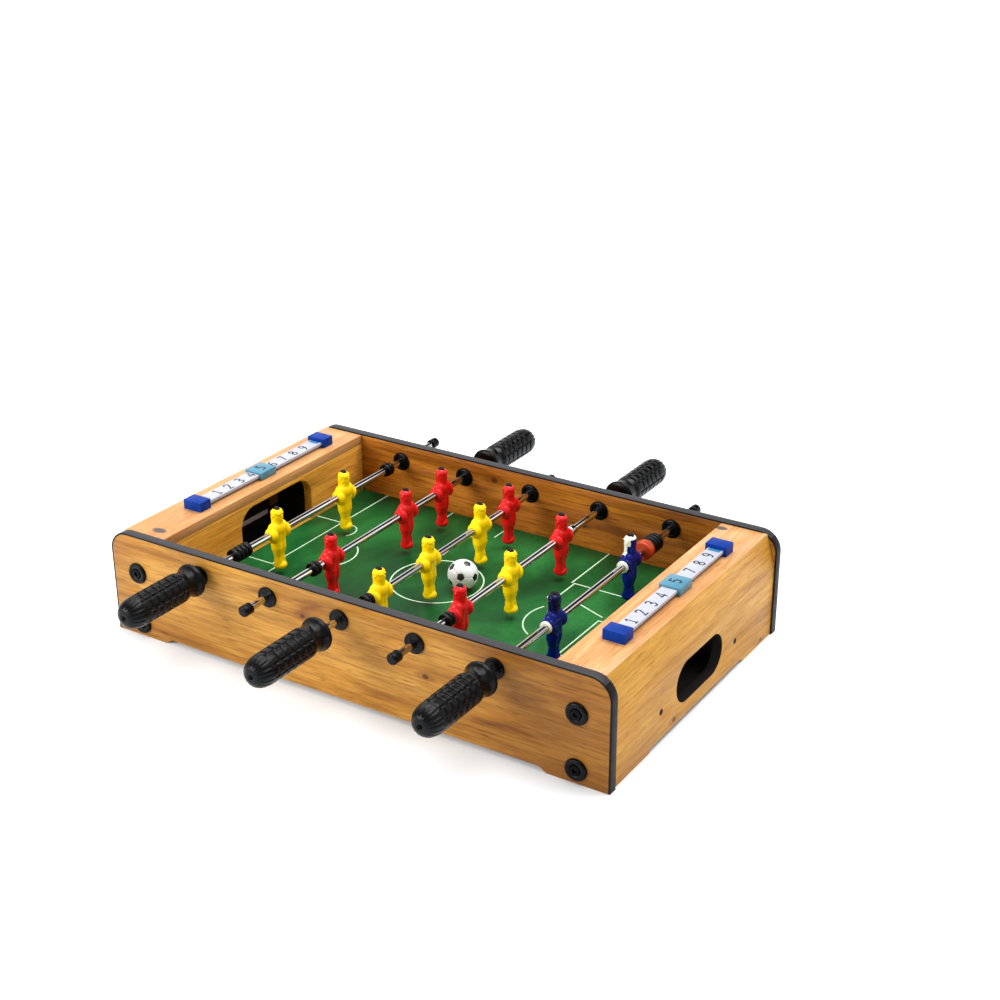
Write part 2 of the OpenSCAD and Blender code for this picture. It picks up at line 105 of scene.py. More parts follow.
class Shader:
    """A Principled material with short calls for its procedural nodes."""

    def __init__(self, name, color, roughness, metallic=0.0, specular=0.5, coat=0.0):
        self.material = bpy.data.materials.new(name)
        self.material.use_nodes = True
        self.material.diffuse_color = color
        self.tree = self.material.node_tree
        self.bsdf = self.tree.nodes["Principled BSDF"]
        settings = {"Base Color": color, "Roughness": roughness, "Metallic": metallic,
                    "Specular IOR Level": specular, "Coat Weight": coat, "Coat Roughness": COAT_ROUGHNESS}
        for socket, value in settings.items():
            self.put(value, self.bsdf.inputs[socket])
        self.coords = self.node("ShaderNodeTexCoord", {}).outputs["Object"]

    def put(self, value, socket):
        """Links an output into a socket, or sets the socket to a plain value."""
        if isinstance(value, bpy.types.NodeSocket):
            self.tree.links.new(value, socket)
        else:
            socket.default_value = value

    def node(self, kind, inputs, **settings):
        """A new node with its settings and its inputs, each a value or another node's output."""
        made = self.tree.nodes.new(kind)
        for key, value in settings.items():
            setattr(made, key, value)
        for key, value in inputs.items():
            self.put(value, made.inputs[key])
        return made

    def noise(self, scale, stretch=(1, 1, 1), detail=3.0, rough=0.55, distortion=0.0, offset=(0, 0, 0)):
        """Noise at `scale` features per metre, stretched by multiplying its coordinates."""
        place = {"Vector": self.coords, "Scale": stretch, "Location": offset}
        mapping = self.node("ShaderNodeMapping", place)
        return self.node("ShaderNodeTexNoise", {
            "Vector": mapping.outputs["Vector"], "Scale": scale, "Detail": detail, "Roughness": rough,
            "Distortion": distortion}).outputs["Fac"]

    def ramp(self, fac, *stops):
        """A colour ramp through (position, colour) stops."""
        made = self.node("ShaderNodeValToRGB", {"Fac": fac})
        while len(made.color_ramp.elements) < len(stops):
            made.color_ramp.elements.new(0.5)
        for element, (position, color) in zip(made.color_ramp.elements, stops):
            element.position = position
            element.color = color
        return made.outputs["Color"]

    def grey(self, fac, low, high, start=0.3, end=0.7):
        """A plain number that goes from `low` to `high` while fac goes from `start` to `end`."""
        inputs = {"Value": fac, "From Min": start, "From Max": end, "To Min": low, "To Max": high}
        return self.node("ShaderNodeMapRange", inputs).outputs["Result"]

    def mix(self, fac, a, b, blend="MIX"):
        """Mixes colours a and b."""
        return self.node("ShaderNodeMix", {0: fac, 6: a, 7: b}, data_type="RGBA", blend_type=blend).outputs[2]

    def math(self, operation, *values):
        return self.node("ShaderNodeMath", dict(enumerate(values)), operation=operation).outputs[0]

    def axes(self):
        """The object coordinates as three plain numbers in metres."""
        return self.node("ShaderNodeSeparateXYZ", {0: self.coords}).outputs

    def spot(self, center, radii, wobble):
        """1 inside an ellipsoid given in millimetres, falling to 0 outside, with an uneven edge."""
        total = 0.0
        for axis, c, r in zip(self.axes(), center, radii):
            off = self.math("DIVIDE", self.math("SUBTRACT", axis, c * MM), r * MM)
            total = self.math("ADD", total, self.math("MULTIPLY", off, off))
        reach = self.math("ADD", self.math("SQRT", total), self.math("MULTIPLY", wobble, 0.5))
        return self.grey(reach, 1.0, 0.0, 0.95, 1.35)

    def band(self, axis, low, high, soft=0.4):
        """1 between two places on an axis, in millimetres, with soft edges."""
        value = self.axes()[axis]
        rise = self.grey(value, 0.0, 1.0, (low - soft) * MM, (low + soft) * MM)
        fall = self.grey(value, 1.0, 0.0, (high - soft) * MM, (high + soft) * MM)
        return self.math("MULTIPLY", rise, fall)

    def color(self, out):
        self.put(out, self.bsdf.inputs["Base Color"])

    def rough(self, out):
        self.put(out, self.bsdf.inputs["Roughness"])

    def bump(self, fac, height, previous=None):
        """Adds a bump of `height` millimetres to the `previous` one."""
        inputs = {"Height": fac, "Distance": height * MM, "Strength": 1.0}
        if previous is not None:
            inputs["Normal"] = previous
        normal = self.node("ShaderNodeBump", inputs).outputs["Normal"]
        self.put(normal, self.bsdf.inputs["Normal"])
        return normal


# How the grain stretches a texture along a board's length
GRAIN_X = (0.055, 1, 1)
GRAIN_Y = (1, 0.055, 1)


def across(grain, factor):
    """The grain's stretch with its long axis changed by `factor`."""
    return tuple(g if g == 1 else g * factor for g in grain)


def wood(name, light, mid, dark, grain, roughness=0.42, coat=0.03, offset=(0, 0, 0), knots=(), spots=(),
         painted_shade_and_tone=()):
    """Lacquered wood: broad figure, rings, fine fibres, short pores and knots along the grain.

    knots are (place in mm, radius in mm); spots are (place, radii, colour), soft painted marks;
    the last list holds (axis, start in mm, end in mm, tint), tints that fade in along an axis:
    painted shade where they darken the board, and a lighter end on the back panel.
    """
    s = Shader(name, mid, roughness, specular=0.2, coat=coat)
    figure = s.noise(22, across(grain, 2.2), detail=5, rough=0.62, distortion=2.2, offset=offset)
    rings = s.noise(75, across(grain, 1.3), detail=3, rough=0.55, distortion=1.1, offset=offset)
    fibres = s.noise(520, across(grain, 0.8), detail=3, rough=0.65, offset=offset)
    pores = s.noise(950, across(grain, 1.3), detail=1, offset=offset)
    patches = s.noise(9, across(grain, 7), detail=3, offset=offset)
    base = s.ramp(figure, (0.25, dark), (0.40, mid), (0.55, light), (0.75, mid))
    base = s.mix(s.grey(rings, 0.0, 0.5, 0.50, 0.70), base, dark)
    base = s.mix(s.grey(fibres, 0.0, 0.62, 0.46, 0.70), base, dark)
    base = s.mix(s.grey(patches, 0.0, 0.55, 0.44, 0.68), base, dark)
    base = s.mix(s.grey(pores, 0.0, 0.5, 0.60, 0.76), base, dark, "MULTIPLY")
    for place_mm, radius in knots:
        halo = s.spot(place_mm, tuple(radius * (5 if g != 1 else 1.8) for g in grain), rings)
        core = s.spot(place_mm, tuple(radius * (1.5 if g != 1 else 1.0) for g in grain), rings)
        base = s.mix(s.grey(halo, 0.0, 0.5, 0.0, 1.0), base, dark)
        base = s.mix(s.grey(core, 0.0, 0.85, 0.0, 1.0), base, KNOT)
    # Tints that fade in along an axis: painted shade where they darken the board, and a lighter right end on
    # the back panel
    for axis, start, end, tint in painted_shade_and_tone:
        base = s.mix(s.grey(s.axes()[axis], 0.0, 1.0, start * MM, end * MM), base, tint, "MULTIPLY")
    for place_mm, radii, color in spots:
        base = s.mix(s.spot(place_mm, radii, fibres), base, color)
    s.color(base)
    s.rough(s.grey(fibres, roughness - 0.07, roughness + 0.12))
    first = s.bump(fibres, 0.08)
    s.bump(pores, 0.04, first)
    return s.material


def plastic(name, color, roughness, worn, coat=0.0, grain=0.02, specular=0.5):
    """Moulded plastic: slight cloudiness, fine texture and rubbed patches."""
    s = Shader(name, color, roughness, specular=specular, coat=coat)
    cloud = s.noise(160, detail=3)
    fine = s.noise(2600, detail=2)
    s.color(s.mix(s.grey(cloud, 0.0, 0.6), color, worn))
    s.rough(s.grey(cloud, roughness - 0.05, roughness + 0.1))
    s.bump(fine, grain)
    return s.material


def metal(name, color, roughness, stretch, streak_and_reflection):
    """Polished metal with faint drawn marks and smudges; on the rods the dark bands are strong, part drawn
    marks and part painted reflection.
    """
    s = Shader(name, color, roughness, metallic=1.0)
    streak_and_reflection_mask = s.noise(260, stretch, detail=2, rough=0.5)
    fine = s.noise(1500, stretch, detail=2)
    smudge = s.noise(60, detail=3)
    base = s.ramp(streak_and_reflection_mask, (0.40, streak_and_reflection), (0.47, color), (0.55, streak_and_reflection), (0.66, color))
    s.color(s.mix(s.grey(fine, 0.0, 0.4, 0.45, 0.75), base, streak_and_reflection))
    s.rough(s.grey(smudge, roughness * 0.7, roughness * 1.8))
    s.bump(fine, 0.01)
    return s.material


def pitch_material():
    """Printed green board: soft mown mottling under a satin film."""
    s = Shader("pitch_green", srgb(16, 82, 36), 0.45, specular=0.12)
    mottle = s.noise(14, (1, 0.6, 1), detail=4, rough=0.6, distortion=0.4)
    grass = s.noise(700, (1, 0.5, 1), detail=3)
    base = s.ramp(mottle, (0.32, srgb(6, 54, 24)), (0.5, srgb(18, 82, 34)), (0.68, srgb(38, 112, 50)))
    base = s.mix(s.grey(grass, 0.0, 0.35, 0.4, 0.75), base, srgb(6, 44, 20))
    s.color(base)
    s.rough(s.grey(mottle, 0.36, 0.52))
    s.bump(grass, 0.03)
    return s.material


def inside_material(name, marked):
    """Matt black paint inside the goal boxes. Where `marked`, a pale strip and a bare brown patch show."""
    s = Shader(name, srgb(12, 11, 11), 0.75, specular=0.15)
    cloud = s.noise(90, detail=3)
    base = s.mix(s.grey(cloud, 0.0, 1.0), srgb(10, 9, 9), srgb(24, 20, 18))
    if marked:
        strip_mask = s.math("MULTIPLY", s.band(2, 39, 44), s.band(1, -30, 46))
        base = s.mix(strip_mask, base, srgb(188, 184, 190))
        bare = s.math("MULTIPLY", s.band(2, 45, 54), s.band(1, 50, 66))
        base = s.mix(bare, base, srgb(112, 66, 44))
    s.color(base)
    s.rough(s.grey(cloud, 0.65, 0.85))
    s.bump(cloud, 0.05)
    return s.material


KNOT = srgb(70, 34, 12)
FRONT_TONES = (srgb(194, 142, 61), srgb(175, 120, 40), srgb(116, 68, 22))
INNER_TONES = (srgb(210, 132, 44), srgb(178, 104, 24), srgb(104, 54, 6))
GOAL_TONES = (srgb(244, 176, 74), srgb(222, 148, 50), srgb(160, 92, 22))
# Top boards: a lighter, paler copy of the end boards' wood, as painted light from above
TOP_PAINTED_LIGHT_TONES = (srgb(211, 163, 110), srgb(201, 146, 89), srgb(174, 113, 60))
END_TONES = (srgb(208, 154, 62), srgb(194, 137, 46), srgb(152, 96, 28))
GREY_MARK = srgb(84, 74, 70)
# Painted shade on the front panel: darker towards its right end, its left end and its bottom
FRONT_PAINTED_SHADE = [(0, 70, 170, (0.66, 0.58, 0.48, 1)), (0, -215, -252, (0.82, 0.78, 0.70, 1)),
                (2, 34, 0, (0.92, 0.86, 0.66, 1))]
# Back panel: lighter at its right end, near the end boards' tone, and painted shade that darkens it towards the
# right
BACK_PAINTED_SHADE_AND_END_TONE = [(0, 238, 252, (1.5, 1.9, 2.6, 1)), (0, 30, 150, (0.56, 0.56, 0.5, 1))]
MATERIALS = {
    "panel_wood": wood("panel_wood", *FRONT_TONES, GRAIN_X, offset=(0.3, 0.1, 0.2),
                       knots=[((85, -155, 52), 2.4), ((-39, -155, 72), 2.0)], painted_shade_and_tone=FRONT_PAINTED_SHADE),
    "back_wood": wood("back_wood", *INNER_TONES, GRAIN_X, offset=(1.3, 2.1, 0.7),
                      knots=[((-41, 146, 84), 2.8), ((60, 146, 60), 2.0), ((-120, 155, 40), 3.0)],
                      painted_shade_and_tone=BACK_PAINTED_SHADE_AND_END_TONE),
    "end_wood": wood("end_wood", *END_TONES, GRAIN_Y, offset=(0.1, 0.4, 0.9),
                     knots=[((253, -45, 10), 2.2), ((253, 125, 4), 1.8)]),
    # Top boards: the end wood made lighter and paler, as painted light from above
    "top_wood_painted_light": wood("top_wood_painted_light", *TOP_PAINTED_LIGHT_TONES, GRAIN_Y, 0.36, 0.12, offset=(0.6, 0.2, 0.4),
                     spots=[((-217, -132, 97.6), (8, 5, 4), GREY_MARK),
                            ((205, 136, 97.6), (6.5, 4, 4), GREY_MARK)]),
    "goal_wood": wood("goal_wood", *GOAL_TONES, GRAIN_Y, offset=(0.8, 1.4, 0.5)),
    "raw_wood": wood("raw_wood", srgb(206, 166, 112), srgb(190, 146, 92), srgb(150, 106, 62), GRAIN_Y,
                     0.7, 0.0),
    "inside_black": inside_material("inside_black", False),
    "inside_marked": inside_material("inside_marked", True),
    "pitch_green": pitch_material(),
    "screw_steel": metal("screw_steel", srgb(30, 29, 30), 0.35, (1, 1, 1), srgb(14, 13, 14)),
    # Rods: dark bands along their length, part drawn marks and part painted reflection
    "rod_chrome": metal("rod_chrome", srgb(252, 252, 254), 0.06, (1, 0.015, 1), srgb(150, 148, 148)),
}
# Colour, worn colour, roughness and other settings of each plastic
PLASTICS = {
    "edge_trim": ((17, 14, 13), (25, 21, 20), 0.4, dict(specular=0.1)),
    # Trim tops: a lighter grey than the sides, as painted light from above
    "trim_painted_lit_top": ((44, 43, 45), (56, 54, 57), 0.4, dict(specular=0.2)),
    "pitch_line": ((214, 236, 206), (164, 204, 166), 0.5, dict(specular=0.3)),
    "black_plastic": ((3, 3, 4), (8, 8, 9), 0.24, dict(specular=0.12)),
    "handle_rubber": ((3, 3, 4), (8, 8, 10), 0.22, dict(grain=0.03, specular=0.14)),
    "bumper_rubber": ((3, 3, 4), (9, 9, 9), 0.28, dict(grain=0.04, specular=0.14)),
    "spacer_orange": ((186, 62, 18), (140, 36, 10), 0.35, dict(specular=0.3)),
    "player_yellow": ((255, 222, 0), (255, 200, 0), 0.34, dict(coat=0.04, specular=0.2)),
    "player_red": ((222, 18, 20), (172, 6, 10), 0.32, dict(coat=0.1, specular=0.25)),
    "player_blue": ((2, 25, 118), (1, 10, 62), 0.22, dict(coat=0.06, specular=0.14)),
    "player_white": ((232, 234, 214), (208, 210, 188), 0.34, dict(coat=0.1)),
    "player_hair": ((16, 12, 12), (34, 27, 26), 0.4, dict(specular=0.15)),
    "player_navy": ((2, 13, 62), (1, 5, 32), 0.24, dict(coat=0.06, specular=0.14)),
    "scorer_white": ((178, 180, 190), (160, 162, 174), 0.38, dict(specular=0.2)),
    "scorer_blue": ((8, 54, 142), (3, 34, 104), 0.36, dict(specular=0.08)),
    "bead_blue": ((80, 134, 156), (60, 114, 140), 0.25, dict(coat=0.15, specular=0.2)),
    "digit_black": ((26, 26, 28), (60, 60, 64), 0.5, dict(specular=0.2)),
    "tab_blue": ((48, 120, 160), (30, 92, 136), 0.4, {}),
    "ball_white": ((236, 238, 238), (218, 222, 224), 0.3, dict(coat=0.2)),
    "ball_black": ((20, 21, 24), (36, 38, 42), 0.3, dict(coat=0.2)),
}
for name, (color, worn, roughness, settings) in PLASTICS.items():
    MATERIALS[name] = plastic(name, srgb(*color), roughness, srgb(*worn), **settings)


# ---------------------------------------------------------------- mesh helpers


def add_object(name, mesh, body, material, replaced=(), sharp_deg=35):
    """Puts a mesh in the scene as a piece that rides on a CAD body."""
    if material is not None and not mesh.materials:
        mesh.materials.append(MATERIALS[material])
    made = bpy.data.objects.new(name, mesh)
    bpy.context.scene.collection.objects.link(made)
    mesh.shade_smooth()
    if sharp_deg is not None:
        mesh.set_sharp_from_angle(angle=radians(sharp_deg))
    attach(made, body)
    if replaced:
        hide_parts(*replaced)
    return made


def to_mesh(bm, name):
    mesh = bpy.data.meshes.new(name)
    bm.to_mesh(mesh)
    bm.free()
    return mesh


def mesh_from(name, points, faces):
    """A mesh from points in millimetres."""
    mesh = bpy.data.meshes.new(name)
    mesh.from_pydata([tuple(c * MM for c in p) for p in points], [], faces)
    mesh.validate()
    return mesh


def place(mesh, matrix):
    """A copy of a mesh moved by a matrix given in millimetres."""
    made = mesh.copy()
    scaled = matrix.copy()
    scaled.translation *= MM
    made.transform(scaled)
    return made


# Edges of the CAD shape that turn by more than this are rounded
SHARP_EDGE_DEG = 30


def soften(node, width, material, segments=2, inside=None, inside_material="inside_black"):
    """The CAD node's own shape with its edges rounded by `width`, in place of the node.

    `inside` tells from a face's middle in millimetres and its normal whether it has `inside_material`.
    """
    bm = bmesh.new()
    bm.from_mesh(frame["nodes"][node].data)
    bmesh.ops.remove_doubles(bm, verts=bm.verts, dist=2e-6)
    bmesh.ops.dissolve_limit(bm, angle_limit=radians(0.4), verts=bm.verts, edges=bm.edges)
    edges = [e for e in bm.edges if e.is_manifold and e.calc_face_angle() > radians(SHARP_EDGE_DEG)]
    bmesh.ops.bevel(
        bm, geom=edges, offset=width * MM, segments=segments, profile=0.5,
        affect="EDGES", clamp_overlap=True,
    )
    bmesh.ops.triangulate(bm, faces=[f for f in bm.faces if len(f.verts) > 4])
    if inside:
        for f in bm.faces:
            f.material_index = int(inside(f.calc_center_median() / MM, f.normal))
    mesh = to_mesh(bm, node)
    mesh.materials.append(MATERIALS[material])
    if inside:
        mesh.materials.append(MATERIALS[inside_material])
    body = frame["nodes"][node]["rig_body"]
    made = add_object(f"{node}_wood" if "wood" in material else f"{node}_piece", mesh, body, None, (node,))
    return made


def lathe_mesh(name, profile, steps=48, closed_ring=False):
    """Turns (radius, height) points round the local Z axis. Radius 0 closes an end."""
    points, faces, rings = [], [], []
    for r, z in profile:
        if r < 1e-6:
            rings.append([len(points)])
            points.append((0.0, 0.0, z))
        else:
            rings.append(list(range(len(points), len(points) + steps)))
            points += [(r * cos(2 * pi * k / steps), r * sin(2 * pi * k / steps), z) for k in range(steps)]
    pairs = list(zip(rings, rings[1:]))
    if closed_ring:
        pairs.append((rings[-1], rings[0]))
    for a, b in pairs:
        for k in range(steps):
            n = (k + 1) % steps
            if len(a) == 1:
                faces.append((a[0], b[n], b[k]))
            elif len(b) == 1:
                faces.append((a[k], a[n], b[0]))
            else:
                faces.append((a[k], a[n], b[n], b[k]))
    return mesh_from(name, points, faces)


def bands(rings, steps, first=0):
    """Quads between stacked rings of `steps` points each, the first point being number `first`."""
    faces = []
    for low in range(first, first + (rings - 1) * steps, steps):
        for k in range(steps):
            n = (k + 1) % steps
            faces.append((low + k, low + n, low + steps + n, low + steps + k))
    return faces


def rounded(corners, radius, steps=3):
    """A profile with its inner corners rounded."""
    out = [corners[0]]
    for before, here, after in zip(corners, corners[1:], corners[2:]):
        a, b, c = Vector(before), Vector(here), Vector(after)
        cut = min(radius, (a - b).length * 0.45, (c - b).length * 0.45)
        start = b + (a - b).normalized() * cut
        end = b + (c - b).normalized() * cut
        for k in range(steps + 1):
            t = k / steps
            out.append(tuple(start * (1 - t) ** 2 + b * 2 * t * (1 - t) + end * t ** 2))
    out.append(corners[-1])
    return out


def along_y(x, y, z, side):
    """A matrix that points the local Z axis along +Y (side 1) or -Y (side -1)."""
    turn = Matrix.Rotation(radians(-90 * side), 4, "X")
    return Matrix.Translation((x, y, z)) @ turn


def join(name, meshes):
    """One mesh from several."""
    bm = bmesh.new()
    for mesh in meshes:
        bm.from_mesh(mesh)
    return to_mesh(bm, name)


# ---------------------------------------------------------------- the wooden box

WALL_T = OUTER_Y - INNER_Y
END_FACE_X = box_mm("right_end_wall")[1].x


def faces_pocket(middle, normal):
    """Faces of the end boards that look into a goal box, or line the ball return hole."""
    outward = normal.x * (1 if middle.x > 0 else -1)
    if abs(middle.x) < GOAL_X + WALL_T + 1 and abs(middle.y) < INNER_Y - 1 and middle.z < TOP_Z - WALL_T - 1:
        return outward > 0.7
    in_board = abs(middle.x) < END_FACE_X - 0.1 and abs(middle.y) < INNER_Y - 1 and middle.z > 1
    return outward < 0.5 and in_board and (normal.z < 0.9 or middle.z < 50)


def under_top(middle, normal):
    return normal.z < -0.5


def faces_up(middle, normal):
    return normal.z > 0.8


soften("front_panel", 0.35, "panel_wood")
soften("back_panel", 0.35, "back_wood")
for side in ("left", "right"):
    soften(f"{side}_goal_wall", 0.6, "goal_wood", inside=faces_pocket)
    soften(f"{side}_top_board", 0.5, "top_wood_painted_light", inside=under_top)
    soften(f"{side}_slope_board", 0.5, "end_wood", inside=under_top)
    soften(f"{side}_end_wall", 0.5, "end_wood", inside=faces_pocket,
           inside_material="inside_marked" if side == "left" else "inside_black")
soften("pitch_battens", 0.4, "raw_wood")
for node in ("corner_blocks", "tray_floors", "tray_guides"):
    soften(node, 0.4, "inside_black")
soften("pitch_board", 0.15, "pitch_green")
# The trims' upward faces take the lighter grey: painted light from above
soften("edge_trims", 0.35, "edge_trim", 3, inside=faces_up, inside_material="trim_painted_lit_top")


# ---------------------------------------------------------------- printed lines on the pitch

LINE_W = 1.3
LINE_H = 0.12


def strip(points, width=LINE_W):
    """A flat raised strip along a polyline of (x, y) points on the pitch."""
    half = width / 2
    out, faces = [], []
    count = len(points)
    for k, p in enumerate(points):
        here = Vector(p)
        before = Vector(points[max(k - 1, 0)])
        after = Vector(points[min(k + 1, count - 1)])
        d_in = (here - before).normalized() if k else (after - here).normalized()
        d_out = (after - here).normalized() if k < count - 1 else d_in
        tangent = (d_in + d_out).normalized()
        normal = Vector((-tangent.y, tangent.x))
        spread = half / max(normal.dot(Vector((-d_in.y, d_in.x))), 0.5)
        for s, z in ((-1, 0.01), (-0.92, LINE_H), (0.92, LINE_H), (1, 0.01)):
            q = here + normal * spread * s
            out.append((q.x, q.y, PITCH_Z + z))
    for k in range(count - 1):
        a, b = 4 * k, 4 * (k + 1)
        faces += [(a + j, b + j, b + j + 1, a + j + 1) for j in range(3)]
    faces.append((3, 2, 1, 0))
    last = 4 * (count - 1)
    faces.append((last, last + 1, last + 2, last + 3))
    return mesh_from("strip", out, faces)


def arc(cx, cy, r, start, end, steps=48):
    return [
        (cx + r * cos(radians(start + (end - start) * k / steps)),
         cy + r * sin(radians(start + (end - start) * k / steps)))
        for k in range(steps + 1)
    ]


WALL_Y = INNER_Y - 0.5
WALL_X = GOAL_X - 0.5
PITCH_LINES = [
    arc(-18.3, 12.6, 42.8, 0, 360, 96),
    [(-24, WALL_Y), (-24, 119)],
    [(-24, -WALL_Y), (-24, -119)],
    [(-89.5, WALL_Y), (-89.5, 119)],
    [(-169.5, WALL_Y), (-169.5, -38.5)],
    [(-WALL_X, 68.5), (-153, 68.5)],
    arc(-160, 55, 15, 60, -35, 16),
    [(-WALL_X, -38.5), (-162, -38.5), (-162, -66)],
    arc(-145, 7, 33, 66, -66, 40),
    [(-129.5, 88), (-129.5, 60)],
    [(87.5, WALL_Y), (87.5, 75)],
    [(WALL_X, 75), (90.5, 75), (90.5, 48)],
    arc(124, 4, 38.5, 152, 240, 40),
    [(144, 31), (115.5, 42), (115.5, 18)],
    [(WALL_X, 24), (144, 24), (144, -46), (WALL_X, -46)],
    [(WALL_X, -75), (112, -75)],
]
lines = join("pitch_lines", [strip(p) for p in PITCH_LINES])
add_object("pitch_lines", lines, "table", "pitch_line")


# ---------------------------------------------------------------- screws, caps and bushes

CAP_R = 9.8
# Where the screw caps sit on both side panels
CAP_X = (-225, 225)
CAP_Z = (13, 63)
CAP_PROFILE = rounded(
    [(4.75, -0.2), (4.75, 1.9), (5.6, 2.5), (7.6, 3.15), (9.2, 2.5), (CAP_R, 1.2), (CAP_R, 0), (2.6, 0)], 0.6)
HEX_R = 2.4
# Radius and height of each ring of a screw head, and whether it is hexagonal
HEAD_RINGS = [(4.55, 0.0, False), (4.55, 0.9, False), (4.2, 1.35, False), (3.3, 1.6, False),
              (HEX_R, 1.6, True), (HEX_R, 0.35, True)]
SHANK_PROFILE = [(0, -1.4), (2.5, -1.4), (2.5, 21), (1.2, 25), (0, 25)]
HEAD_OUT = 1.4
caps, screws = [], []


def hex_screw():
    """A low domed screw head with a hexagonal socket."""
    steps = 48
    rings = []
    for r, z, hexed in HEAD_RINGS:
        ring = []
        for k in range(steps):
            a = 2 * pi * k / steps
            if hexed:
                sector = (a + pi / 6) % (pi / 3) - pi / 6
                radius = r * cos(pi / 6) / cos(sector)
            else:
                radius = r
            ring.append((radius * cos(a), radius * sin(a), z))
        rings.append(ring)
    points = [p for ring in rings for p in ring]
    faces = bands(len(rings), steps)
    faces.append(tuple(range(steps - 1, -1, -1)))
    floor = (len(rings) - 1) * steps
    faces.append(tuple(floor + k for k in range(steps)))
    return mesh_from("hex_screw", points, faces)


cap_mesh = lathe_mesh("cap", CAP_PROFILE, 48, closed_ring=True)
head_mesh = hex_screw()
shank_mesh = lathe_mesh("shank", SHANK_PROFILE, 24)
for x in CAP_X:
    for z in CAP_Z:
        for side in (-1, 1):
            caps.append(place(cap_mesh, along_y(x, side * OUTER_Y, z, side)))
            screws.append(place(head_mesh, along_y(x, side * (OUTER_Y + HEAD_OUT), z, side)))
            screws.append(place(shank_mesh, along_y(x, side * OUTER_Y, z, -side)))
add_object("corner_cap_rings", join("caps", caps), "table", "black_plastic", ("screw_caps",))
add_object("corner_hex_screws", join("screws", screws), "table", "screw_steel", ("corner_screws",))

NUT_PROFILE = rounded([(6.1, 0), (6.1, 2.2), (7.3, 2.2), (8.1, 1.8), (9.25, 1.6), (9.25, 0), (6.1, 0)], 0.35)
SLEEVE_PROFILE = rounded(
    [(3.35, -11.2), (3.35, 2.2), (4.6, 2.2), (5.2, 1.9), (7.6, 1.7), (8.0, 2.1), (9.25, 1.8), (9.25, 0), (6, 0),
     (6, -11.2), (3.35, -11.2)], 0.35)
sleeves, nuts = [], []
sleeve_mesh = lathe_mesh("sleeve", SLEEVE_PROFILE[:-1], 64, closed_ring=True)
nut_mesh = lathe_mesh("nut", NUT_PROFILE[:-1], 64, closed_ring=True)
for i in RODS:
    for side in (-1, 1):
        sleeves.append(place(sleeve_mesh, along_y(ROD_X[i], side * OUTER_Y, ROD_Z, side)))
        nuts.append(place(nut_mesh, along_y(ROD_X[i], side * INNER_Y, ROD_Z, -side)))
add_object("rod_bush_sleeves", join("sleeves", sleeves), "table", "black_plastic", ("bush_sleeves",))
add_object("rod_bush_nuts", join("nuts", nuts), "table", "black_plastic", ("bush_nuts",))
soften("end_wall_screws", 0.12, "screw_steel")


# ---------------------------------------------------------------- rods, end caps and bumpers

for i in RODS:
    low, high = box_mm(f"rod{i}_bar")
    radius = (high.z - low.z) / 2
    length = high.y - low.y
    bar = lathe_mesh("bar", [(0, 0), (radius - 0.5, 0), (radius, 0.5), (radius, length - 0.5),
                             (radius - 0.5, length), (0, length)], 48)
    add_object(f"rod{i}_chrome_bar", place(bar, along_y(ROD_X[i], low.y, ROD_Z, 1)),
               f"rod{i}_spin", "rod_chrome", (f"rod{i}_bar",))

    low, high = box_mm(f"rod{i}_end_cap")
    spare_side = -HANDLE_SIDE[i]
    length = high.y - low.y
    start = low.y if spare_side > 0 else high.y
    cap_r = (high.z - low.z) / 2
    cap = lathe_mesh("end_cap", rounded(
        [(3.3, 0.4), (3.7, 0), (cap_r, 0), (cap_r, 1.2), (cap_r - 0.35, 1.6), (cap_r - 0.35, 2.2), (cap_r, 2.6),
         (cap_r, length - 1.2), (cap_r - 1.3, length), (0, length)], 0.5), 40)
    add_object(f"rod{i}_rubber_tip", place(cap, along_y(ROD_X[i], start, ROD_Z, spare_side)),
               f"rod{i}_spin", "handle_rubber", (f"rod{i}_end_cap",))


def bumper_profile(inner, outer, length, ribs):
    """A rubber ring with rounded ribs between grooves."""
    pitch = length / ribs
    groove = min(1.0, outer - inner - 1.2)
    out = [(inner, 0)]
    for k in range(ribs):
        a = k * pitch
        if k:
            out += [(outer - groove, a - 0.45), (outer - groove, a + 0.45)]
        out += [(outer - 0.4, a + (0.5 if k else 0)), (outer, a + pitch * 0.3), (outer, a + pitch * 0.7),
                (outer - 0.4, a + pitch - (0.5 if k < ribs - 1 else 0))]
    out.append((inner, length))
    return out


# Bumpers of each rod: front end along Y, length, radius and number of ribs
BUMPERS = {
    1: [(-112, 20, 7, 4), (117, 8, 6.5, 2)],
    2: [(-96, 8, 6.5, 2)],
    3: [(-121, 8, 6.5, 2)],
    4: [(-113, 8, 6.5, 2)],
    5: [(97.5, 17, 8.5, 4)],
}
BUMPER_BORE = 3.4
for i in RODS:
    rings = [
        place(lathe_mesh("bumper", bumper_profile(BUMPER_BORE, r, l, ribs), 40, closed_ring=True),
              along_y(ROD_X[i], y, ROD_Z, 1))
        for y, l, r, ribs in BUMPERS[i]
    ]
    add_object(f"rod{i}_rubber_bumpers", join("bumpers", rings), f"rod{i}_slide", "bumper_rubber",
               (f"rod{i}_bumpers",))


def collar_mesh(radius, length):
    """A plain collar with rounded shoulders."""
    return lathe_mesh("collar", rounded(
        [(BUMPER_BORE, 0), (radius - 0.6, 0), (radius, 1.2), (radius, length - 1.2), (radius - 0.6, length),
         (BUMPER_BORE, length), (BUMPER_BORE, 0)], 0.5)[:-1], 40, closed_ring=True)


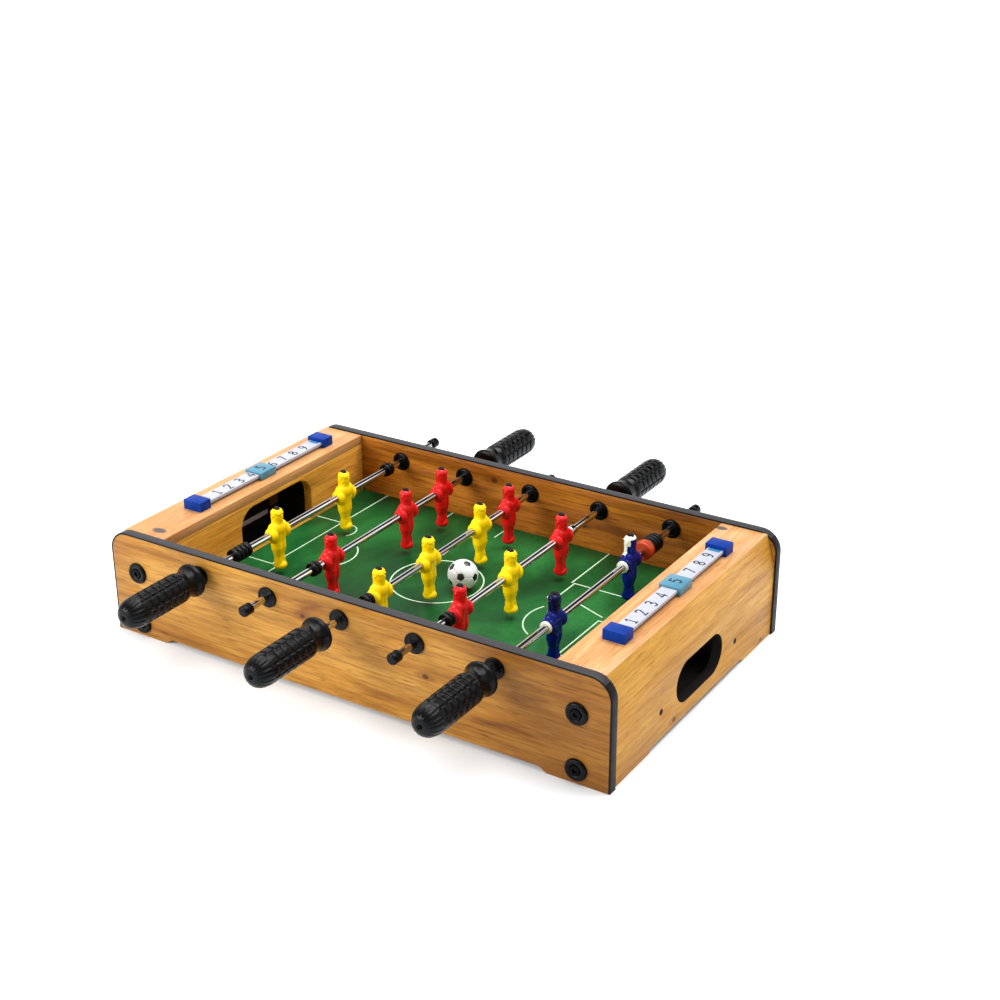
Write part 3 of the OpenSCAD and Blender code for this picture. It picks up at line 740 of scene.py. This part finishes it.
# Name, rod, radius, length, front end along Y and material of each collar
COLLARS = [
    ("rod5_orange_collar", 5, 9, 9, 88, "spacer_orange"),
    ("rod4_steel_collar", 4, 4.8, 8, 89.6, "rod_chrome"),
]
for name, i, radius, length, y, material in COLLARS:
    collar = place(collar_mesh(radius, length), along_y(ROD_X[i], y, ROD_Z, 1))
    add_object(name, collar, f"rod{i}_slide", material)


# ---------------------------------------------------------------- handles

handle_low, handle_high = box_mm("rod1_handle")
HANDLE_L = handle_high.y - handle_low.y
HANDLE_PROFILE = [
    (3.4, 0.0), (7.0, 0.0), (10.6, 0.6), (13.9, 1.6), (15.0, 2.9), (15.0, 4.6), (14.5, 6.2), (13.1, 8.4),
    (12.1, 11.5), (11.8, 14.5), (12.0, 16.6), (12.8, 18.6), (13.5, 21.0), (13.5, 24.0), (13.5, 65.0),
    (13.5, 70.6), (13.2, 74.4), (12.3, 78.4), (10.6, 82.0), (8.2, 84.6), (5.2, HANDLE_L - 0.1), (2.9, HANDLE_L),
]
GRIP_START, GRIP_END = 21.5, 71.5
# Rows of blocks round the grip, blocks in a row, and depth of the grooves between them
SECTORS = 8
BLOCKS = 6
GROOVE = 1.5
HOLE_R = 2.2
HOLE_DEPTH = 5


def bell_curve(x, width):
    """1 at x = 0, falling smoothly to 0 at `width`."""
    t = min(abs(x) / width, 1.0)
    return 1 - t * t * (3 - 2 * t)


def handle_relief(z, angle):
    """How far the grip's pattern sinks below the outline."""
    sector = angle / (2 * pi) * SECTORS
    around = abs(sector - round(sector))
    if GRIP_START <= z <= GRIP_END:
        fade = min(1.0, (z - GRIP_START) / 1.5, (GRIP_END - z) / 1.5)
        step = (GRIP_END - GRIP_START) / BLOCKS
        phase = (z - GRIP_START) / step + 0.5 * (int(sector) % 2)
        along = abs(phase - round(phase)) * step
        return GROOVE * fade * max(bell_curve(around, 0.13), bell_curve(along, 1.3))
    if z > GRIP_END + 1:
        ribs = angle / (2 * pi) * 2 * SECTORS
        near = abs(ribs - round(ribs))
        fade = min(1.0, (z - GRIP_END - 1) / 2, (HANDLE_L - 0.6 - z) / 1.5)
        return max(0.0, 0.7 * fade * bell_curve(near, 0.22))
    return 0.0


def resample(profile, step):
    """Points along a profile at most `step` apart."""
    out = [profile[0]]
    for a, b in zip(profile, profile[1:]):
        parts = max(1, int(hypot(b[0] - a[0], b[1] - a[1]) / step + 0.5))
        out += [(a[0] + (b[0] - a[0]) * k / parts, a[1] + (b[1] - a[1]) * k / parts)
                for k in range(1, parts + 1)]
    return out


def smooth_profile(profile, rounds=2):
    """Chaikin corner cutting that keeps both ends."""
    for _ in range(rounds):
        out = [profile[0]]
        for a, b in zip(profile, profile[1:]):
            out.append((0.75 * a[0] + 0.25 * b[0], 0.75 * a[1] + 0.25 * b[1]))
            out.append((0.25 * a[0] + 0.75 * b[0], 0.25 * a[1] + 0.75 * b[1]))
        out.append(profile[-1])
        profile = out
    return profile


def handle_mesh():
    steps = 144
    rings = resample(smooth_profile(HANDLE_PROFILE), 0.75)
    points = []
    for r, z in rings:
        for k in range(steps):
            a = 2 * pi * k / steps
            rr = r - handle_relief(z, a)
            points.append((rr * cos(a), rr * sin(a), z))
    rows = len(rings)
    for r, z in ((HOLE_R, HANDLE_L - 0.3), (HOLE_R - 0.2, HANDLE_L - HOLE_DEPTH)):
        points += [(r * cos(2 * pi * k / steps), r * sin(2 * pi * k / steps), z) for k in range(steps)]
    faces = bands(rows + 2, steps)
    floor = (rows + 1) * steps
    faces.append(tuple(floor + k for k in range(steps)))
    return mesh_from("handle", points, faces)


grip = handle_mesh()
for i in RODS:
    low, high = box_mm(f"rod{i}_handle")
    side = HANDLE_SIDE[i]
    start = high.y if side < 0 else low.y
    spin = Matrix.Rotation(radians(11 * i), 4, "Z")
    add_object(f"rod{i}_grip", place(grip, along_y(ROD_X[i], start, ROD_Z, side) @ spin),
               f"rod{i}_spin", "handle_rubber", (f"rod{i}_handle",), sharp_deg=None)


# ---------------------------------------------------------------- players

# Longest distance from the rod's middle to the tip of a foot
REACH = 37.0


def ellipsoid(center, radii, bm, steps=28):
    matrix = Matrix.Translation(center) @ Matrix.Diagonal((*radii, 1))
    bmesh.ops.create_uvsphere(bm, u_segments=steps, v_segments=steps // 2, radius=1, matrix=matrix)


def limb(p0, p1, r0, r1, bm, squash=1.0):
    """A tapered round limb from p0 to p1 with ball ends, flattened along X by `squash`."""
    a, b = Vector(p0), Vector(p1)
    count = 14
    for k in range(count + 1):
        t = k / count
        r = r0 + (r1 - r0) * t
        ellipsoid(a.lerp(b, t), (r * squash, r, r), bm, 20)


def remeshed(bm, name):
    """The outer skin of overlapping shapes, remeshed and smoothed. Coordinates are millimetres."""
    mesh = to_mesh(bm, name)
    holder = bpy.data.objects.new(name, mesh)
    bpy.context.scene.collection.objects.link(holder)
    remesh = holder.modifiers.new("remesh", "REMESH")
    remesh.mode = "VOXEL"
    remesh.voxel_size = VOXEL
    smoothing = holder.modifiers.new("smooth", "SMOOTH")
    smoothing.iterations = SMOOTHING
    smoothing.factor = 0.5
    bpy.context.view_layer.update()
    evaluated = holder.evaluated_get(bpy.context.evaluated_depsgraph_get())
    done = bpy.data.meshes.new_from_object(evaluated)
    bpy.data.objects.remove(holder)
    bpy.data.meshes.remove(mesh)
    return done


def cut_round_rod(mesh):
    """Keeps a player inside the reach of its foot and of its shoulders."""
    for v in mesh.vertices:
        r = hypot(v.co.x, v.co.z)
        if r > REACH:
            v.co.x *= REACH / r
            v.co.z *= REACH / r


def with_twin(kind, start, *rest):
    """A figure part and its twin on the other side of the body."""
    flip = Matrix.Diagonal((1, -1, 1))
    twin_rest = (tuple(flip @ Vector(rest[0])), *rest[1:]) if kind == "l" else rest
    return (kind, start, *rest), (kind, tuple(flip @ Vector(start)), *twin_rest)


# Parts of a figure, in millimetres from the rod, facing +X. ("e", middle, radii) is an ellipsoid and
# ("l", start, end, radius at the start, radius at the end, flattening along X) is a limb.
VOXEL = 0.42
SMOOTHING = 3
BODY_PARTS = [
    ("e", (0.2, 0, 3.6), (6.5, 10.2, 8.2)),
    *with_twin("l", (0, 5.2, 5.6), (0, 8.6, -0.8), 4.6, 5.3, 1.15),
    *with_twin("e", (0, 9.0, -0.8), (6.9, 5.0, 7.4)),
    *with_twin("l", (0.2, 2.0, 1), (-0.2, 2.6, -10), 5.9, 5.2, 0.97),
    *with_twin("l", (-0.2, 2.6, -10), (0, 2.6, -15), 5.2, 5.2, 1.04),
    *with_twin("l", (0, 2.6, -15), (0.2, 1.8, -24), 5.2, 3.4, 1.02),
    *with_twin("l", (0.2, 1.8, -24), (0.3, 2.3, -31), 3.4, 3.8, 1.1),
    ("e", (0.5, 0, -33.2), (6.3, 6.2, 4.4)),
]
HEAD_PARTS = [
    ("l", (0, 0, 5), (0, 0, 12), 5.8, 5.5, 0.95),
    ("e", (0, 0, 13.6), (5.5, 6.0, 7.4)),
    ("e", (0, 0, 17.0), (5.5, 6.0, 4.5)),
    ("e", (1.8, 0, 11.8), (3.9, 4.3, 3.4)),
    ("e", (5.5, 0, 15.2), (0.9, 0.8, 1.2)),
    *with_twin("e", (0.1, 5.9, 15.4), (1.2, 0.9, 1.6)),
    *with_twin("e", (0, 3.5, 17.5), (3.8, 2.5, 2.9)),
    *with_twin("e", (4.8, 2.1, 17.4), (0.9, 1.6, 0.5)),
    ("e", (5.1, 0, 12.6), (0.6, 1.6, 0.5)),
]
HEAD_TOP = 22.2
HEAD_LIFT = {"field": 1.9, "keeper": 4.4}


def build(parts, name):
    bm = bmesh.new()
    for part in parts:
        if part[0] == "e":
            ellipsoid(part[1], part[2], bm)
        else:
            limb(*part[1:5], bm, part[5])
    mesh = remeshed(bm, name)
    cut_round_rod(mesh)
    return mesh


def raised(part, lift):
    """A head part moved up by `lift`; the neck keeps its lower end."""
    if part[0] == "e":
        return ("e", (part[1][0], part[1][1], part[1][2] + lift), part[2])
    return ("l", part[1], (part[2][0], part[2][1], part[2][2] + lift), *part[3:])


def player_mesh(lift):
    """The moulded body with its head, and a shallow boss ring where the rod passes through."""
    mesh = build(BODY_PARTS + [raised(part, lift) for part in HEAD_PARTS], "player")
    top = HEAD_TOP + lift
    for v in mesh.vertices:
        if v.co.z > top:
            v.co.z = top + (v.co.z - top) * 0.3
        if v.co.z < -36.4:
            v.co.z = -36.4 + (v.co.z + 36.4) * 0.4
        r = hypot(v.co.x, v.co.z)
        ring = bell_curve(r - 4.3, 0.9)
        if abs(v.co.y) > 12.6 and r < 6:
            v.co.y = (12.6 + 0.5 * ring) * (1 if v.co.y > 0 else -1)
    return mesh


def cap_of_hair(low, thick, radii, center):
    """A thin shell over the top of the head."""
    steps, rows = 36, 9
    points, faces = [], []
    for layer in (1.0, 0.82):
        for j in range(rows + 1):
            polar = radians(2 + (low - 2) * j / rows)
            for k in range(steps):
                a = 2 * pi * k / steps
                lift = thick if layer == 1.0 else 0
                wave = 0.18 * sin(5 * a) * sin(polar) if layer == 1.0 else 0
                rx, ry, rz = (r * layer + lift + wave for r in radii)
                points.append((center[0] + rx * sin(polar) * cos(a), center[1] + ry * sin(polar) * sin(a),
                               center[2] + rz * cos(polar)))
    ring = steps * (rows + 1)
    for base, flip in ((0, False), (ring, True)):
        faces += [quad if flip else quad[::-1] for quad in bands(rows + 1, steps, base)]
        top = tuple(base + k for k in range(steps))
        faces.append(top[::-1] if flip else top)
    for k in range(steps):
        n = (k + 1) % steps
        edge = rows * steps
        faces.append((edge + k, ring + edge + k, ring + edge + n, edge + n))
    return mesh_from("hair", points, faces)


players, hairs = {}, {}
for kind, lift in HEAD_LIFT.items():
    players[kind] = player_mesh(lift)
    players[kind].transform(Matrix.Scale(MM, 4))
    hairs[kind] = cap_of_hair(80, 0.2, (3.4, 3.0, 4.3), (0, 0, 18.8 + lift))

TEAMS = {
    1: ("yellow", "yellow"),
    2: ("red", "red", "red"),
    3: ("yellow", "yellow", "yellow", "red"),
    4: ("red", "yellow", "red"),
    5: ("blue", "blue"),
}
FACING = {"yellow": 1, "red": -1, "blue": -1}
BLUE_PAINTS = ("player_blue", "player_white", "player_navy")


def near_blue(p):
    """Paint of the near blue player: navy head with a white front edge."""
    if p.x > 4.0 and 4 < p.z < 23 and abs(p.y) < 4.0:
        return 1
    return 2 if p.z > 12 else 0


def far_blue(p):
    """Paint of the far blue player: a white hood that runs down its front edge."""
    hood = p.z > 17 and p.x > -3 or p.z > 23 or 9 < p.z <= 17 and p.x > 0
    return 1 if hood or (p.x > 2.6 and p.z > 0 and abs(p.y) < 7) else 0


TRIMMINGS = {1: near_blue, 2: far_blue}
KEEPER_RING = [(3.4, 0), (4.9, 0), (5.4, 0.5), (5.4, 1.9), (4.9, 2.4), (3.4, 2.4)]
blue_collar = lathe_mesh("blue_collar", KEEPER_RING, 40, closed_ring=True)


def painted(mesh, paint):
    """A copy of the player with its faces painted by their place."""
    made = mesh.copy()
    for name in BLUE_PAINTS:
        made.materials.append(MATERIALS[name])
    for face in made.polygons:
        face.material_index = paint(face.center / MM)
    return made


for i in RODS:
    for k, team in enumerate(TEAMS[i], 1):
        node = f"rod{i}_player{k}"
        low, high = box_mm(node)
        turn = Matrix.Rotation(0 if FACING[team] > 0 else pi, 4, "Z")
        where = Matrix.Translation((ROD_X[i], (low.y + high.y) / 2, ROD_Z)) @ turn
        if team == "blue":
            figure = painted(players["keeper"], TRIMMINGS[k])
            figure = place(figure, where)
            made = add_object(f"{node}_figure", figure, f"rod{i}_spin", None, (node,), sharp_deg=None)
            ring = place(blue_collar, along_y(ROD_X[i], low.y - 0.9, ROD_Z, 1))
            add_object(f"{node}_collar", ring, f"rod{i}_spin", "player_white")
        else:
            add_object(f"{node}_figure", place(players["field"], where), f"rod{i}_spin",
                       f"player_{team}", (node,), sharp_deg=None)
        hair = hairs["keeper" if team == "blue" else "field"]
        add_object(f"{node}_hair", place(hair, where), f"rod{i}_spin", "player_hair")


# ---------------------------------------------------------------- scorers

for node, material in (("scorer_rails", "scorer_white"), ("scorer_end_blocks", "scorer_blue"),
                       ("left_score_bead", "bead_blue"), ("right_score_bead", "bead_blue")):
    soften(node, 0.45, material, 3)

# Pen strokes of each digit in a box 4 wide and 6 high
DIGITS = {
    1: [[(1, 4.6), (2.3, 6), (2.3, 0)], [(1, 0), (3.4, 0)]],
    2: [[(0.6, 4.6), (1, 5.7), (2, 6), (3.1, 5.6), (3.4, 4.5), (3, 3.4), (0.6, 0), (3.5, 0)]],
    3: [[(0.6, 5.4), (1.6, 6), (2.8, 5.8), (3.3, 4.7), (2.7, 3.5), (1.6, 3.2)],
        [(1.6, 3.2), (3, 2.8), (3.5, 1.6), (2.8, 0.3), (1.6, 0), (0.5, 0.7)]],
    4: [[(2.8, 0), (2.8, 6), (0.4, 1.9), (3.8, 1.9)]],
    5: [[(3.3, 6), (0.9, 6), (0.7, 3.4), (2.2, 3.7), (3.3, 2.9), (3.4, 1.3), (2.4, 0.1), (0.6, 0.4)]],
    6: [[(3.1, 5.8), (1.7, 5.3), (0.7, 3.3), (0.7, 1.2), (1.6, 0), (2.8, 0.1), (3.4, 1.5), (2.8, 3), (1.4, 3.1),
         (0.7, 2.2)]],
    7: [[(0.5, 6), (3.5, 6), (1.6, 0)]],
    8: [[(2, 3.2), (0.9, 4), (0.9, 5.3), (2, 6), (3.1, 5.3), (3.1, 4), (2, 3.2)],
        [(2, 3.2), (0.7, 2.2), (0.7, 0.8), (2, 0), (3.3, 0.8), (3.3, 2.2), (2, 3.2)]],
    9: [[(0.9, 0.2), (2.3, 0.7), (3.3, 2.7), (3.3, 4.8), (2.4, 6), (1.2, 5.9), (0.6, 4.5), (1.2, 3), (2.6, 2.9),
         (3.3, 3.8)]],
}
DIGIT_SCALE = 1.7
DIGIT_STEP = {"left": 16, "right": 17.4}
DIGIT_PEN = 1.5
# Room that a digit hidden under the bead at rest needs on each side of its middle
DIGIT_HALF = 3.2
# How deep the print's underside lies in the rail, so that the bead passes over it
PRINT_SUNK = 0.06
TAB_L = 5


def digit_strokes(digit, x, y, z):
    """A digit's strokes with its top towards -X, read towards +Y."""
    out = []
    for stroke in DIGITS[digit]:
        path = [(x - (v - 3) * DIGIT_SCALE, y + (u - 2) * DIGIT_SCALE) for u, v in stroke]
        out.append(place(strip(path, DIGIT_PEN), Matrix.Translation((0, 0, z - PITCH_Z))))
    return out


RAIL_TOP_Z = box_mm("scorer_rails")[1].z
RAIL_W = 14.5
for side, bead in (("left", "left_score_bead"), ("right", "right_score_bead")):
    bead_low, bead_high = box_mm(bead)
    scorer_x = (bead_low.x + bead_high.x) / 2
    middle_y = SCORER_Y[side]
    marks = []
    for digit in range(1, 10):
        y = middle_y + DIGIT_STEP[side] * (digit - 5)
        if bead_low.y - 4 < y < bead_high.y + 4:
            y = min(max(y, bead_low.y + DIGIT_HALF), bead_high.y - DIGIT_HALF)
        marks += digit_strokes(digit, scorer_x, y, RAIL_TOP_Z - PRINT_SUNK)
    add_object(f"{side}_scorer_digits", join("digits", marks), "table", "digit_black")
    score = digit_strokes(5, scorer_x, (bead_low.y + bead_high.y) / 2, bead_high.z)
    add_object(f"{side}_bead_digit", join("digit", score), f"{side}_bead", "digit_black")
    tabs = []
    for s in (-1, 1):
        edge = middle_y + s * 84
        path = [(scorer_x, edge), (scorer_x, edge - s * TAB_L)]
        lift = RAIL_TOP_Z - PRINT_SUNK - PITCH_Z
        tabs.append(place(strip(path, RAIL_W - 3), Matrix.Translation((0, 0, lift))))
    add_object(f"{side}_scorer_tabs", join("tabs", tabs), "table", "tab_blue")


# ---------------------------------------------------------------- ball

# Where two neighbouring black patches of the ball point
PATCH_A = (0.384, -0.047, 0.920)
PATCH_B = (0.407, -0.865, 0.292)
# How much smaller than its equal share of the ball a black patch is
BLACK_SHRINK = 0.062
SEAM_DEPTH = 0.28


def frame_from(a, b):
    """Axes whose first points along a and whose second leans towards b."""
    x = Vector(a).normalized()
    y = (Vector(b) - x * x.dot(Vector(b))).normalized()
    return Matrix((x, y, x.cross(y))).transposed()


def ball_meshes(center, radius):
    """A ball of twelve black pentagons and twenty white hexagons with pressed seams."""
    golden = (1 + sqrt(5)) / 2
    corners = [Vector(v).normalized() for a in (-1, 1) for b in (-golden, golden)
               for v in ((0, a, b), (a, b, 0), (b, 0, a))]
    edge = min((corners[0] - c).length for c in corners[1:])
    centers = [(c, True) for c in corners]
    for trio in combinations(corners, 3):
        if all(abs((p - q).length - edge) < 1e-3 for p, q in combinations(trio, 2)):
            centers.append((sum(trio, Vector()).normalized(), False))
    neighbour = min(corners[1:], key=lambda c: (c - corners[0]).length)
    tilt = frame_from(PATCH_A, PATCH_B) @ frame_from(corners[0], neighbour).transposed()
    bm = bmesh.new()
    bmesh.ops.create_icosphere(bm, subdivisions=6, radius=1)
    turned = [(tilt @ c, black) for c, black in centers]
    dirs = np.array([c[:] for c, _ in turned])
    bias = np.array([-BLACK_SHRINK if black else 0.0 for _, black in turned])
    for v in bm.verts:
        n = v.co.normalized()
        score = np.sort(dirs @ np.array(n) + bias)[::-1]
        seam = bell_curve((score[0] - score[1]) * 1.6, 0.05)
        v.co = n * (radius - SEAM_DEPTH * seam)
    for f in bm.faces:
        n = np.array(f.calc_center_median().normalized())
        f.material_index = int(turned[int(np.argmax(dirs @ n + bias))][1])
    bmesh.ops.translate(bm, verts=bm.verts, vec=center)
    bmesh.ops.scale(bm, verts=bm.verts, vec=(MM, MM, MM))
    return to_mesh(bm, "ball")


low, high = box_mm("ball")
ball = ball_meshes((low + high) / 2, (high.x - low.x) / 2)
ball.materials.append(MATERIALS["ball_white"])
ball.materials.append(MATERIALS["ball_black"])
made = add_object("patched_ball", ball, "ball", None, ("ball",), sharp_deg=None)


# ---------------------------------------------------------------- camera, floor and light

CAMERA_AT = (760.7, -1106.9, 727.6)
CAMERA_AZIMUTH, CAMERA_DOWN, CAMERA_ROLL = 32.404, 24.067, -0.229
CAMERA_LENS, CAMERA_SENSOR = 60.18, 36


def camera_matrix():
    az, down, roll = (radians(a) for a in (CAMERA_AZIMUTH, CAMERA_DOWN, CAMERA_ROLL))
    forward = Vector((-sin(az) * cos(down), cos(az) * cos(down), -sin(down)))
    right = Vector((cos(az), sin(az), 0))
    up = right.cross(forward)
    x = cos(roll) * right + sin(roll) * up
    y = -sin(roll) * right + cos(roll) * up
    matrix = Matrix((x, y, -forward)).transposed().to_4x4()
    matrix.translation = Vector(CAMERA_AT) * MM
    return matrix


lens = bpy.data.cameras.new("camera")
lens.lens, lens.sensor_width = CAMERA_LENS, CAMERA_SENSOR
camera = bpy.data.objects.new("camera", lens)
bpy.context.scene.collection.objects.link(camera)
camera.matrix_world = camera_matrix()
bpy.context.scene.camera = camera

FLOOR_HALF_M = 20
floor_mesh = bpy.data.meshes.new("floor")
CORNERS = ((-1, -1), (1, -1), (1, 1), (-1, 1))
floor_mesh.from_pydata([(x * FLOOR_HALF_M, y * FLOOR_HALF_M, 0) for x, y in CORNERS],
                       [], [(0, 1, 2, 3)])
floor = bpy.data.objects.new("floor", floor_mesh)
floor_shader = Shader("floor_white", (0.83, 0.86, 0.88, 1), 0.9, specular=0.1)
floor_mesh.materials.append(floor_shader.material)
bpy.context.scene.collection.objects.link(floor)

# Even white light, with a dark card high behind the table and a brighter ring round it.
# They give the polished rods a black streak between two white ones. Each stop is an angle from the card's
# middle in degrees and the light there.
DARK_CARD_AT = (0, 0.77, 0.637)
SKY_STRENGTH = 1.15
SKY_STOPS = [(64, 0.54), (54, 1.0), (27, 1.0), (20, 0.02)]
world = bpy.data.worlds.new("studio")
world.use_nodes = True
sky_nodes, sky_link = world.node_tree.nodes, world.node_tree.links.new
background = sky_nodes["Background"]
background.inputs["Strength"].default_value = SKY_STRENGTH
place_in_sky = sky_nodes.new("ShaderNodeTexCoord")
towards_card = sky_nodes.new("ShaderNodeVectorMath")
towards_card.operation = "DOT_PRODUCT"
towards_card.inputs[1].default_value = DARK_CARD_AT
sky = sky_nodes.new("ShaderNodeValToRGB")
while len(sky.color_ramp.elements) < len(SKY_STOPS):
    sky.color_ramp.elements.new(0.5)
for element, (degrees, glow) in zip(sky.color_ramp.elements, SKY_STOPS):
    element.position = cos(radians(degrees))
    element.color = (glow, glow, glow, 1)
sky_link(place_in_sky.outputs["Generated"], towards_card.inputs[0])
sky_link(towards_card.outputs["Value"], sky.inputs["Fac"])
sky_link(sky.outputs["Color"], background.inputs["Color"])
bpy.context.scene.world = world


def aim(obj, at, target=(0, 0, 0.05)):
    obj.location = at
    obj.rotation_euler = (Vector(target) - Vector(at)).to_track_quat("-Z", "Y").to_euler()
    bpy.context.scene.collection.objects.link(obj)


def softbox(name, at, size, power):
    light = bpy.data.lights.new(name, "AREA")
    light.shape = "RECTANGLE"
    light.size, light.size_y = size
    light.energy = power
    aim(bpy.data.objects.new(name, light), at)


def sun(name, direction_from, strength, angle_deg):
    light = bpy.data.lights.new(name, "SUN")
    light.energy = strength
    light.angle = radians(angle_deg)
    aim(bpy.data.objects.new(name, light), direction_from, (0, 0, 0))


sun("key", (0.45, 0.4, 1.9), 2.1, 40)
softbox("fill_front", (-0.9, -1.5, 0.8), (1.2, 0.9), 32)
softbox("strip_top", (-0.2, 0.6, 1.4), (1.6, 0.25), 12)

bpy.context.scene.view_settings.view_transform = "Standard"
